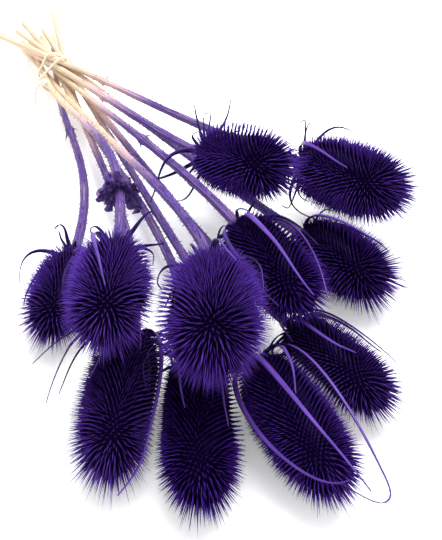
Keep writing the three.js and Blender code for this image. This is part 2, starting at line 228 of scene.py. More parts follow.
def path_frame(path: Array, across: Array) -> tuple[Array, Array, Array]:
    """Gives the directions along a path.

    Args:
        path: Points of the path.
        across: The direction that the path's own sideways direction keeps closest to.

    Returns:
        Along, sideways and outward unit vectors at each point.
    """
    along = unit(np.gradient(path, axis=0))
    across = np.broadcast_to(across, path.shape)
    sideways = unit(across - (across * along).sum(-1, keepdims=True) * along)
    return along, sideways, np.cross(sideways, along)


@dataclass
class Surface:
    """Closed surfaces as arrays: points in millimetres, quads, triangles and values for the finishes."""

    points: Array
    quads: Array
    triangles: Array
    values: dict[str, Array]

    @staticmethod
    def tubes(rings: Array, values: dict[str, Array | float], tips: Array | None = None) -> "Surface":
        """Closes many tubes at once: quads between the rings and a fan to the middle of each end.

        Args:
            rings: Points as an array of tubes, rings, points round a ring and coordinates.
            values: Values for the finishes, which spread over the points of the rings.
            tips: The points that the tubes end in, if not the middles of their last rings.

        Returns:
            The tubes as one surface that faces outwards.
        """
        count, length, around, _ = rings.shape
        ends = np.stack([rings[:, 0].mean(1), rings[:, -1].mean(1) if tips is None else tips], axis=1)
        points = np.concatenate([rings.reshape(count, -1, 3), ends], axis=1)
        stride = length * around + 2
        ring, step = np.meshgrid(np.arange(length - 1), np.arange(around), indexing="ij")
        following = (step + 1) % around
        near, far = ring * around, (ring + 1) * around
        quads = np.stack([near + step, near + following, far + following, far + step], axis=-1).reshape(-1, 4)
        edge = np.arange(around)
        turned = (edge + 1) % around
        last = (length - 1) * around
        first_fan = np.stack([np.full(around, stride - 2), turned, edge], axis=-1)
        last_fan = np.stack([np.full(around, stride - 1), last + edge, last + turned], axis=-1)
        fans = np.concatenate([first_fan, last_fan])
        offset = (np.arange(count) * stride)[:, None, None]
        flat = {}
        for name, value in values.items():
            value = np.broadcast_to(value, rings.shape[:3])
            closed = np.stack([value[:, 0].mean(1), value[:, -1].mean(1)], axis=1)
            if tips is not None and name == "along":
                closed[:, 1] = 1.0
            flat[name] = np.concatenate([value.reshape(count, -1), closed], axis=1).ravel()
        made = Surface(points.reshape(-1, 3), (quads[None] + offset).reshape(-1, 4),
                       (fans[None] + offset).reshape(-1, 3), flat)
        return made.facing_outwards()

    @staticmethod
    def joined(parts: list["Surface"]) -> "Surface":
        """Puts several surfaces into one."""
        starts = np.cumsum([0] + [len(part.points) for part in parts[:-1]])
        names = parts[0].values
        return Surface(
            np.concatenate([part.points for part in parts]),
            np.concatenate([part.quads + start for part, start in zip(parts, starts)]),
            np.concatenate([part.triangles + start for part, start in zip(parts, starts)]),
            {name: np.concatenate([part.values[name] for part in parts]) for name in names})

    def volume(self) -> float:
        """Gives the enclosed volume, which is negative if the faces point inwards."""
        corners = np.concatenate([self.quads[:, [0, 1, 2]], self.quads[:, [0, 2, 3]], self.triangles])
        a, b, c = (self.points[corners[:, k]] for k in range(3))
        return float((a * np.cross(b, c)).sum() / 6)

    def facing_outwards(self) -> "Surface":
        """Turns the faces round if they point inwards."""
        if self.volume() < 0:
            self.quads = self.quads[:, ::-1]
            self.triangles = self.triangles[:, ::-1]
        return self

    def as_object(self, name: str, material: bpy.types.Material, smooth: bool = True) -> bpy.types.Object:
        """Makes the mesh object, in metres, resting on the floor and not below it.

        Args:
            name: The piece's name.
            material: Its finish.
            smooth: Whether the shading is smooth.

        Returns:
            The object, at the origin, in the scene.
        """
        placed = self.points - BOX_CENTRE
        placed[:, 2] = np.maximum(placed[:, 2], FLOOR_CLEARANCE)
        mesh = bpy.data.meshes.new(name)
        corners = np.concatenate([self.quads.ravel(), self.triangles.ravel()])
        sizes = np.concatenate([np.full(len(self.quads), 4), np.full(len(self.triangles), 3)])
        mesh.vertices.add(len(placed))
        mesh.vertices.foreach_set("co", (placed * MM).ravel())
        mesh.loops.add(len(corners))
        mesh.loops.foreach_set("vertex_index", corners)
        mesh.polygons.add(len(sizes))
        mesh.polygons.foreach_set("loop_start", np.concatenate([[0], np.cumsum(sizes)[:-1]]))
        mesh.polygons.foreach_set("loop_total", sizes)
        mesh.polygons.foreach_set("use_smooth", np.full(len(sizes), smooth))
        for key, value in self.values.items():
            mesh.attributes.new(key, "FLOAT", "POINT").data.foreach_set("value", value.astype(np.float32))
        mesh.materials.append(material)
        mesh.update(calc_edges=True)
        mesh.validate()
        return in_scene(name, mesh)


def in_scene(name: str, data: bpy.types.ID) -> bpy.types.Object:
    """Gives a new object with a mesh, light or camera, linked into the scene."""
    made = bpy.data.objects.new(name, data)
    bpy.context.collection.objects.link(made)
    return made


def add_piece(made: bpy.types.Object, replaced: str | None = None) -> None:
    """Lets a piece ride with the bunch.

    Args:
        made: The piece.
        replaced: The solid that it stands for, if any.
    """
    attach(made, "root")
    if replaced:
        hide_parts(replaced)
    LOG.info("%s: %d faces", made.name, len(made.data.polygons))


class NodeTree:
    """A short way to write shader nodes."""

    def __init__(self, tree: bpy.types.NodeTree) -> None:
        """Keeps the tree that the nodes go into."""
        self.tree = tree

    def node(self, kind: str, inputs: dict | None = None, **settings) -> bpy.types.Node:
        """Adds a node.

        Args:
            kind: The node's type.
            inputs: Input names or numbers with a value or an output socket to link.
            settings: Properties of the node.

        Returns:
            The node.
        """
        made = self.tree.nodes.new(kind)
        for key, value in settings.items():
            setattr(made, key, value)
        for key, value in (inputs or {}).items():
            if isinstance(value, bpy.types.NodeSocket):
                self.tree.links.new(value, made.inputs[key])
            else:
                made.inputs[key].default_value = value
        return made

    def value(self, name: str) -> bpy.types.NodeSocket:
        """Gives a value that the mesh carries."""
        return self.node("ShaderNodeAttribute", attribute_name=name).outputs["Fac"]

    def math(self, operation: str, *values, use_clamp: bool = False) -> bpy.types.NodeSocket:
        """Gives the result of a calculation with one or more values, kept between 0 and 1 if asked."""
        inputs = dict(enumerate(values))
        return self.node("ShaderNodeMath", inputs, operation=operation, use_clamp=use_clamp).outputs[0]

    def ramp(self, share: bpy.types.NodeSocket, stops: list[tuple[float, Colour]]) -> bpy.types.NodeSocket:
        """Gives a colour that changes with a share, through the given stops."""
        made = self.node("ShaderNodeValToRGB", {"Fac": share})
        elements = made.color_ramp.elements
        while len(elements) < len(stops):
            elements.new(0.5)
        for element, (place, colour) in zip(elements, stops):
            element.position = place
            element.color = (*colour, 1.0)
        return made.outputs["Color"]

    def mix(self, share, first, second, blend: str = "MIX") -> bpy.types.NodeSocket:
        """Gives a mix of two colours, each a colour or a socket."""
        made = self.node("ShaderNodeMix", data_type="RGBA", blend_type=blend)
        for key, value in ((0, share), (6, first), (7, second)):
            if isinstance(value, bpy.types.NodeSocket):
                self.tree.links.new(value, made.inputs[key])
            else:
                made.inputs[key].default_value = value if key == 0 else (*value, 1.0)
        return made.outputs[2]

    def brightened(self, colour: bpy.types.NodeSocket, gain: bpy.types.NodeSocket) -> bpy.types.NodeSocket:
        """Gives a colour times a gain."""
        grey = self.node("ShaderNodeCombineColor", {0: gain, 1: gain, 2: gain}).outputs[0]
        return self.mix(1.0, colour, grey, "MULTIPLY")

    def noise(self, scale: bpy.types.NodeSocket | float, detail: float, roughness: float = 0.5,
              place: bpy.types.NodeSocket | None = None) -> bpy.types.NodeSocket:
        """Gives soft noise.

        Args:
            scale: How fine it is.
            detail: How many finer layers it has.
            roughness: How strong the finer layers are.
            place: Where it is read, or the piece's own coordinates if None.

        Returns:
            A value around a half.
        """
        if place is None:
            place = self.node("ShaderNodeTexCoord").outputs["Object"]
        inputs = {"Vector": place, "Scale": scale, "Detail": detail, "Roughness": roughness}
        return self.node("ShaderNodeTexNoise", inputs).outputs["Fac"]


class MottleGroup:
    """The uneven take-up of the dye: a shader group that lightens and darkens a colour in soft patches."""

    NAME = "dye_mottle"

    @classmethod
    def tree(cls) -> bpy.types.NodeTree:
        """Gives the group, built once."""
        found = bpy.data.node_groups.get(cls.NAME)
        if found:
            return found
        tree = bpy.data.node_groups.new(cls.NAME, "ShaderNodeTree")
        for name, kind in (("Colour", "NodeSocketColor"), ("Scale", "NodeSocketFloat"),
                           ("Depth", "NodeSocketFloat")):
            tree.interface.new_socket(name, in_out="INPUT", socket_type=kind)
        tree.interface.new_socket("Colour", in_out="OUTPUT", socket_type="NodeSocketColor")
        tree.interface.new_socket("Patch", in_out="OUTPUT", socket_type="NodeSocketFloat")
        write = NodeTree(tree)
        entry = write.node("NodeGroupInput")
        patch = write.noise(entry.outputs["Scale"], 4.0, 0.6)
        swing = write.math("MULTIPLY", entry.outputs["Depth"], 2.0)
        gain = write.math("MULTIPLY_ADD", write.math("SUBTRACT", patch, 0.5), swing, 1.0)
        uneven = write.brightened(entry.outputs["Colour"], gain)
        write.node("NodeGroupOutput", {"Colour": uneven, "Patch": patch})
        return tree


@dataclass(frozen=True)
class Relief:
    """Fine relief from noise: its scale, layers and roughness, its depth in metres and its strength."""

    scale: float
    detail: float
    roughness: float
    depth: float
    strength: float

    def normal(self, write: NodeTree) -> bpy.types.NodeSocket:
        """Gives the surface direction with the relief."""
        height = write.noise(self.scale, self.detail, self.roughness)
        inputs = {"Height": height, "Distance": self.depth, "Strength": self.strength}
        return write.node("ShaderNodeBump", inputs).outputs["Normal"]


@dataclass(frozen=True)
class Streaks:
    """Streaks along a piece: noise that changes fast round it, slowly along it and from piece to piece."""

    around: float
    along: float
    tone: float
    scale: float
    detail: float

    def share(self, write: NodeTree) -> bpy.types.NodeSocket:
        """Gives the streaks as a value around a half."""
        place = write.node("ShaderNodeCombineXYZ", {
            0: write.math("MULTIPLY", write.value("round"), self.around),
            1: write.math("MULTIPLY", write.value("along"), self.along),
            2: write.math("MULTIPLY", write.value("tone"), self.tone)})
        return write.noise(self.scale, self.detail, place=place.outputs[0])


@dataclass(frozen=True)
class Finish:
    """What all finishes of the bunch share. The roughness swings with the dye's patches."""

    name: str
    roughness: float
    mottle_scale: float
    mottle_depth: float
    gloss: float
    sheen: Colour
    relief: Relief

    def colour(self, write: NodeTree) -> bpy.types.NodeSocket:
        """Gives the colour before the dye's unevenness; each finish has its own."""
        raise NotImplementedError

    def material(self) -> bpy.types.Material:
        """Gives the finish's material, built once."""
        found = bpy.data.materials.get(self.name)
        if found:
            return found
        made = bpy.data.materials.new(self.name)
        made.use_nodes = True
        made.node_tree.nodes.clear()
        write = NodeTree(made.node_tree)
        mottle = write.node("ShaderNodeGroup", node_tree=MottleGroup.tree())
        made.node_tree.links.new(self.colour(write), mottle.inputs["Colour"])
        mottle.inputs["Scale"].default_value = self.mottle_scale
        mottle.inputs["Depth"].default_value = self.mottle_depth
        low = self.roughness - ROUGHNESS_SWING / 2
        rough = write.math("MULTIPLY_ADD", mottle.outputs["Patch"], ROUGHNESS_SWING, low)
        shader = write.node("ShaderNodeBsdfPrincipled", {
            "Base Color": mottle.outputs["Colour"], "Roughness": rough, "Normal": self.relief.normal(write)})
        shader.inputs["Specular IOR Level"].default_value = self.gloss
        shader.inputs["Specular Tint"].default_value = (*self.sheen, 1.0)
        write.node("ShaderNodeOutputMaterial", {"Surface": shader.outputs[0]})
        return made


@dataclass(frozen=True)
class SpineFinish(Finish):
    """Dyed spines: painted shade almost black at the root, darker again at the tip, and a violet painted
    highlight along the awn; each a little different.
    """

    root: Colour
    middle: Colour
    lit: Colour
    tip: Colour
    faded: Colour
    tone_depth: float = 0.35

    def colour(self, write: NodeTree) -> bpy.types.NodeSocket:
        """Gives the painted light and shade along the spine, faded on pale heads, brighter or darker by its
        own tone.
        """
        along = write.value("along")
        # Painted light along each spine: painted shade at the root and middle, a painted highlight band at
        # lit, painted shade again at the tip.
        dyed = write.ramp(along, [(0.0, self.root), (0.3, self.middle), (0.6, self.lit), (1.0, self.tip)])
        faded = write.mix(write.math("MULTIPLY", along, write.value("pale")), dyed, self.faded)
        return write.brightened(faded, write.math("MULTIPLY_ADD", write.value("tone"), self.tone_depth, 1.0))


@dataclass(frozen=True)
class BractFinish(Finish):
    """Dyed bracts: satin violet, painted shade at the edges, a painted highlight line and fine streaks along
    them.
    """

    edge: Colour
    keel: Colour
    streaks: Streaks = Streaks(around=6.0, along=3.0, tone=40.0, scale=2.0, detail=3.0)

    def colour(self, write: NodeTree) -> bpy.types.NodeSocket:
        """Gives the colour across the bract: painted edge shade up to a painted highlight line, with streaks
        along it.
        """
        streak = write.math("MULTIPLY_ADD", self.streaks.share(write), 1.2, -0.55)
        share = write.math("MULTIPLY_ADD", write.value("keel"), 0.9, streak)
        return write.ramp(share, [(0.0, self.edge), (1.0, self.keel)])


@dataclass(frozen=True)
class StemFinish(Finish):
    """Ribbed stems: straw where the dye didn't reach, then a pinkish blush, violet towards the head."""

    straw: Colour
    straw_furrow_shade: Colour
    blush: Colour
    lilac: Colour
    violet: Colour
    streaks: Streaks = Streaks(around=9.0, along=0.02, tone=30.0, scale=2.5, detail=5.0)
    fibres: Streaks = Streaks(around=26.0, along=0.07, tone=30.0, scale=2.5, detail=5.0)
    blush_depth: float = 0.8

    def colour(self, write: NodeTree) -> bpy.types.NodeSocket:
        """Gives the straw or dyed colour by the stem's own dye, with broad streaks and fine fibres.

        The dye's reach, made uneven by the streaks, first mixes the blush into the straw and, past the
        half, the dyed colour into both. Fibres lighten either one, and so does a painted highlight on the
        ribs, with painted shade in the furrows between.

        Args:
            write: The material's nodes.

        Returns:
            The colour.
        """
        streak, rib = self.streaks.share(write), write.value("rib")
        fibre = write.math("MULTIPLY_ADD", self.fibres.share(write), 3.0, -1.5)
        # Painted highlight on the ribs plus real fibres; below it the straw falls to painted shade in the
        # furrows.
        lit = write.math("ADD", rib, write.math("MULTIPLY_ADD", fibre, 0.5, 0.15), use_clamp=True)
        natural = write.mix(lit, self.straw_furrow_shade, self.straw)
        # The dyed colour runs from violet to lilac with the real streaks and with the ribs' painted highlight
        # and the furrows' painted shade.
        depth = write.math("ADD", write.math("MULTIPLY", rib, 0.4), write.math("MULTIPLY", streak, 0.6))
        dyed = write.ramp(write.math("ADD", depth, fibre), [(0.1, self.violet), (0.75, self.lilac)])
        reach = write.math("ADD", write.value("dye"), write.math("MULTIPLY_ADD", streak, 1.2, -0.6))
        half_dyed = write.math("MULTIPLY", reach, 2.0, use_clamp=True)
        full_dyed = write.math("MULTIPLY_ADD", reach, 2.0, -1.0, use_clamp=True)
        blushed = write.mix(write.math("MULTIPLY", half_dyed, self.blush_depth), natural, self.blush)
        return write.mix(full_dyed, blushed, dyed)


@dataclass(frozen=True)
class StringFinish(Finish):
    """Natural string: pale fibre, browner between the plies."""

    fibre: Colour
    groove: Colour

    def colour(self, write: NodeTree) -> bpy.types.NodeSocket:
        """Gives the colour across the plies."""
        return write.mix(write.value("ply"), self.groove, self.fibre)


ROUGHNESS_SWING = 0.2
VIOLET_SHEEN = (0.35, 0.20, 0.90)
WHITE_SHEEN = (1.0, 1.0, 1.0)
SKIN = Relief(scale=900.0, detail=3.0, roughness=0.5, depth=0.0002, strength=0.4)
BARK = Relief(scale=420.0, detail=6.0, roughness=0.7, depth=0.0012, strength=0.8)
# Spine colours: root, middle and tip are painted shade, lit is a painted highlight band; faded is the real
# fade of pale heads.
SPINES = SpineFinish(
    "dyed_spines", roughness=0.45, mottle_scale=60.0, mottle_depth=0.35,
    gloss=0.12, sheen=VIOLET_SHEEN, relief=SKIN,
    root=(0.0010, 0.0003, 0.006), middle=(0.008, 0.001, 0.045), lit=(0.075, 0.021, 0.310),
    tip=(0.013, 0.003, 0.065), faded=(0.170, 0.085, 0.440))
# Bracts: edge is painted shade and the other colour a painted highlight line.
BRACTS = BractFinish(
    "dyed_bracts", roughness=0.40, mottle_scale=90.0, mottle_depth=0.30,
    gloss=0.25, sheen=VIOLET_SHEEN, relief=SKIN,
    edge=(0.007, 0.002, 0.040), keel=(0.135, 0.058, 0.390))
# Stems: the darker straw is painted shade in the furrows, and the ribs are painted lighter.
STEMS = StemFinish(
    "fading_stems", roughness=0.55, mottle_scale=45.0, mottle_depth=0.25,
    gloss=0.20, sheen=WHITE_SHEEN, relief=BARK,
    straw=(0.72, 0.56, 0.39), straw_furrow_shade=(0.48, 0.34, 0.21), blush=(0.46, 0.30, 0.42),
    lilac=(0.105, 0.052, 0.285), violet=(0.014, 0.004, 0.070))
STRING = StringFinish(
    "pale_string", roughness=0.85, mottle_scale=200.0, mottle_depth=0.25,
    gloss=0.20, sheen=WHITE_SHEEN, relief=SKIN,
    fibre=(0.80, 0.73, 0.60), groove=(0.48, 0.39, 0.27))


@dataclass
class SeedHead:
    """One teasel's seed head: a core in painted shade, its spines and its bracts."""

    teasel: Teasel
    others: list[Teasel]
    stems: list["Stem"]
    spine_length: float = 10.0
    spine_half_width: float = 0.60
    awn_half_width: float = 0.15
    spine_rings: tuple[float, ...] = (0.0, 0.28, 0.66)
    spine_area: float = 2.7
    spine_bend: float = 0.08
    lean_foot: float = -12.0
    lean_rise: float = 26.0
    lean_tip: float = 70.0
    wobble: float = 0.03
    length_spread: tuple[float, float] = (0.78, 1.12)
    stray_length: float = 0.6
    stray_start: float = 0.75
    tone_spread: float = 0.45
    tone_range: tuple[float, float] = (-2.4, 1.0)
    clearing_rounds: int = 7
    clearing_step: float = 0.1
    stem_clearance: float = 0.5
    middle_margin: float = 0.04
    open_share: float = 1.02
    core_lift: float = 2.8
    # The core's painted shade and its place on the spines' colour ramp keep it near black between the spines.
    core_painted_shade: float = -0.8
    core_colour: float = 0.2
    core_steps: tuple[int, int] = (36, 40)
    core_powers: tuple[float, float] = (0.8, 0.85)
    foot_angle: float = 0.34
    bract_root: float = 1.5
    bract_thread: float = 0.28
    bract_depth: float = 0.55
    bract_foot: tuple[float, float] = (3.0, 2.0)
    bract_droop: float = 3.0
    bract_steps: int = 44
    bract_wave: float = 0.5
    hook_spread: float = 14.0
    small_bracts: int = 5
    small_bract_share: float = 0.75

    def __post_init__(self) -> None:
        """Starts the head's own random numbers."""
        self.random = np.random.default_rng(self.teasel.number)

    def profile(self, steps: int) -> tuple[Array, Array]:
        """Gives the core's outline: a rounded cylinder, blunt at both ends.

        The distance out is a power of the sine and the height a power of the cosine of an angle that runs
        from the foot to the tip. It lies a little outside the solid core, where the spines' bases meet.

        Args:
            steps: Number of points.

        Returns:
            Distances from the axis and heights along it.
        """
        angle = np.linspace(self.foot_angle, math.pi, steps)
        out_power, height_power = self.core_powers
        along = np.sign(np.cos(angle)) * np.abs(np.cos(angle)) ** height_power
        length = self.teasel.length - self.teasel.look.tuft
        widest = self.teasel.radius - self.spine_length + self.core_lift
        return widest * np.abs(np.sin(angle)) ** out_power, length * (1 - along) / 2

    def core(self) -> Surface:
        """Gives the core that the spines stand on: its outline turned round the axis."""
        steps, around = self.core_steps
        out, height = self.profile(steps)
        rings = self.teasel.beside_axis(
            np.maximum(out, 0.05)[:, None], height[:, None], full_circle(around))
        # The core takes the spines' root colour, darkened further: painted shade between the spines.
        return Surface.tubes(rings[None], {"along": self.core_colour, "tone": self.core_painted_shade, "pale": 0.0})

    def spine_roots(self) -> tuple[Array, Array, Array]:
        """Spreads the spines evenly over the core in a sunflower spiral.

        Returns:
            Distance out, height and turn of each spine's root.
        """
        out, height = self.profile(400)
        slant = np.hypot(np.diff(out), np.diff(height))
        area = np.concatenate([[0.0], np.cumsum(math.pi * (out[1:] + out[:-1]) * slant)])
        count = int(area[-1] / self.spine_area)
        wanted = (np.arange(count) + 0.5) / count * area[-1]
        return (np.interp(wanted, area, out), np.interp(wanted, area, height),
                np.arange(count) * GOLDEN_TURN)

    def clear_share(self, roots: Array, reach: Array) -> Array:
        """Shortens the spines that would run into a stem or past the middle between two heads.

        Args:
            roots: The spines' roots.
            reach: The vector from each root to its full tip.

        Returns:
            The share of the full length that each spine keeps.
        """
        share = np.ones(len(roots))
        for _ in range(self.clearing_rounds):
            tips = roots + reach * share[:, None]
            own = self.teasel.head_share(tips)
            blocked = np.zeros(len(roots), dtype=bool)
            for other in self.others:
                blocked |= other.head_share(tips) < np.minimum(own + self.middle_margin, self.open_share)
            for stem in self.stems:
                blocked |= stem.gap(tips) < self.stem_clearance
            share[blocked] -= self.clearing_step
        return share

    def spines(self) -> Surface:
        """Gives all spines: a broad base that narrows fast to a fine awn, leaning more towards the tip.

        A spine's middle line is its root plus its direction times the length, bent towards the head's tip
        with the square of the share, and its half width is a falling power of what is left of it.

        Returns:
            The spines as one surface.
        """
        teasel, look, random = self.teasel, self.teasel.look, self.random
        out, height, turn = self.spine_roots()
        share = height / height.max()
        count = len(share)
        roots = teasel.beside_axis(out, height, turn)
        outward = unit(teasel.beside_axis(np.ones(count), np.zeros(count), turn) - np.array(teasel.foot))
        lean = np.radians(self.lean_foot + self.lean_rise * share + self.lean_tip * share ** 7)
        lean = lean + random.normal(0.0, self.wobble, count)
        swing = random.normal(0.0, self.wobble, count)
        around = np.cross(teasel.axis, outward)
        direction = unit(outward * np.cos(lean)[:, None] + teasel.axis * np.sin(lean)[:, None]
                         + around * swing[:, None])
        side = self.spine_length - self.core_lift + look.shag
        length = side * (0.9 + 0.15 * share) + (look.tuft - side) * share ** 5
        late = smoothstep(self.stray_start, 1.0, share)
        stray = 1 + self.stray_length * late * random.uniform(0, 1, count) ** 3
        length = length * random.uniform(*self.length_spread, count) * stray
        length = length * self.clear_share(roots, direction * length[:, None])
        along = np.array(self.spine_rings)
        left = 1 - along
        half = self.spine_half_width * left ** 3 + self.awn_half_width * left ** 0.4
        width = unit(np.cross(direction, teasel.axis + 0.01 * outward))
        depth = np.cross(width, direction)
        bend = teasel.axis * (random.uniform(0.0, self.spine_bend, count) * length)[:, None]
        reach = direction * length[:, None]
        line = roots[:, None] + reach[:, None] * along[:, None] + bend[:, None] * along[:, None] ** 2
        corner = np.radians([90.0, 210.0, 330.0])
        ring = width[:, None] * np.cos(corner)[:, None] + depth[:, None] * np.sin(corner)[:, None]
        rings = line[:, :, None] + half[:, None, None] * ring[:, None]
        # Random tone for each spine, less a painted shade that deepens towards the head's foot.
        tone = random.normal(0.0, self.tone_spread, count) - look.painted_foot_shade * (1 - share ** 2)
        values = {"along": along[None, :, None], "tone": tone.clip(*self.tone_range)[:, None, None],
                  "pale": look.pale}
        return Surface.tubes(rings, values, roots + reach + bend)

    def bract_line(self, bract: Bract) -> tuple[Array, Array]:
        """Gives a bract's line, a cubic curve from the foot, and its sideways direction."""
        teasel, turn, drift = self.teasel, math.radians(bract.turn), math.radians(bract.drift)
        end, middle = turn + drift, turn + drift / 2
        rise = bract.reach * teasel.length
        belly, tip = bract.belly * teasel.radius, bract.tip_out * teasel.radius
        shoulder, shoulder_height = (belly + tip) / 2 * 1.05, rise * (1.03 - 0.8 * bract.late)
        line = bezier(
            teasel.beside_axis(*self.bract_foot, turn),
            teasel.beside_axis(belly, min(0.0, rise) - self.bract_droop, turn),
            teasel.beside_axis(shoulder, shoulder_height, turn + bract.late * drift),
            teasel.beside_axis(tip, rise, end), 120)
        hook = self.random.normal(0.0, self.hook_spread) if bract.hook is None else bract.hook
        outward = teasel.up * math.cos(end) + teasel.side * math.sin(end)
        across = teasel.side * math.cos(middle) - teasel.up * math.sin(middle)
        return self.hooked(even_along(line, self.bract_steps), outward, hook), across

    @staticmethod
    def hooked(line: Array, outward: Array, hook: float) -> Array:
        """Curls the last quarter of a line aside by turning its steps more and more about a direction.

        Args:
            line: Points of the line.
            outward: The direction that the steps turn about.
            hook: How far the last step turns, in degrees.

        Returns:
            The curled line, of the same length.
        """
        steps = np.diff(line, axis=0)
        angle = math.radians(hook) * smoothstep(0.72, 0.95, np.linspace(0, 1, len(steps)))[:, None]
        along = (steps @ outward)[:, None] * outward
        turned = along + (steps - along) * np.cos(angle) + np.cross(outward, steps) * np.sin(angle)
        return np.vstack([line[:1], line[0] + np.cumsum(turned, axis=0)])

    def bract(self, line: Array, across: Array, root: float) -> Surface:
        """Gives one bract: a channelled blade with a painted highlight line, narrowing from a broad root to a
        thread.

        Round its section the half width follows the cosine and the depth the sine of an angle, and the
        edges lift into a shallow channel. It waves a little from side to side.

        Args:
            line: The bract's middle line.
            across: Its sideways direction.
            root: Half its width at the root.

        Returns:
            The bract's surface.
        """
        share = np.linspace(0.0, 1.0, len(line))
        angle = full_circle(10)
        _, sideways, outward = path_frame(line, across)
        sway = np.sin(share * self.random.uniform(7, 12) + self.random.uniform(0, 6))
        wave = self.bract_wave * sway * share
        half = root * (1 - share) ** 0.75 * (0.75 + 0.25 * np.cos(share * 3)) + self.bract_thread
        deep = self.bract_depth * (1 - 0.72 * share)
        channel = -0.45 * half[:, None] * (np.cos(angle) ** 2)[None]
        offset_side = half[:, None] * np.cos(angle) + wave[:, None]
        offset_out = deep[:, None] * np.sin(angle) - channel
        rings = (line[:, None] + sideways[:, None] * offset_side[..., None]
                 - outward[:, None] * offset_out[..., None])
        # Painted highlight: a bright line on one face of the blade, fainter towards the tip, falling to
        # painted shade at the edges.
        keel = ((0.5 + 0.5 * np.cos(angle - 1.1)) ** 3)[None, None, :] * (1 - 0.4 * share)[None, :, None]
        return Surface.tubes(rings[None], {
            "along": share[None, :, None], "round": (angle / FULL_TURN)[None, None, :],
            "tone": self.random.uniform(0, 1), "keel": keel})

    def bract_set(self) -> Surface:
        """Gives the head's long bracts and a ring of short ones between them at the foot."""
        made = []
        for bract in self.teasel.bracts:
            line, across = self.bract_line(bract)
            made.append(self.bract(line, across, self.bract_root))
        for index in range(self.small_bracts):
            turn = 360 * (index + self.random.uniform(0.1, 0.9)) / self.small_bracts
            short = Bract(turn, self.random.uniform(-15, 15), self.random.uniform(0.8, 1.0),
                          self.random.uniform(0.85, 1.05), self.random.uniform(-0.05, 0.25))
            line, across = self.bract_line(short)
            made.append(self.bract(line, across, self.small_bract_share * self.bract_root))
        return Surface.joined(made)

    def build(self) -> None:
        """Makes the head's pieces: the spines on their core, which replace the solid, and the bracts."""
        label = self.teasel.label
        spiny = Surface.joined([self.core(), self.spines()])
        add_piece(spiny.as_object(f"head_{label}_spines", SPINES.material()),
                  f"teasel_head_{label}")
        add_piece(self.bract_set().as_object(f"head_{label}_bracts", BRACTS.material()))


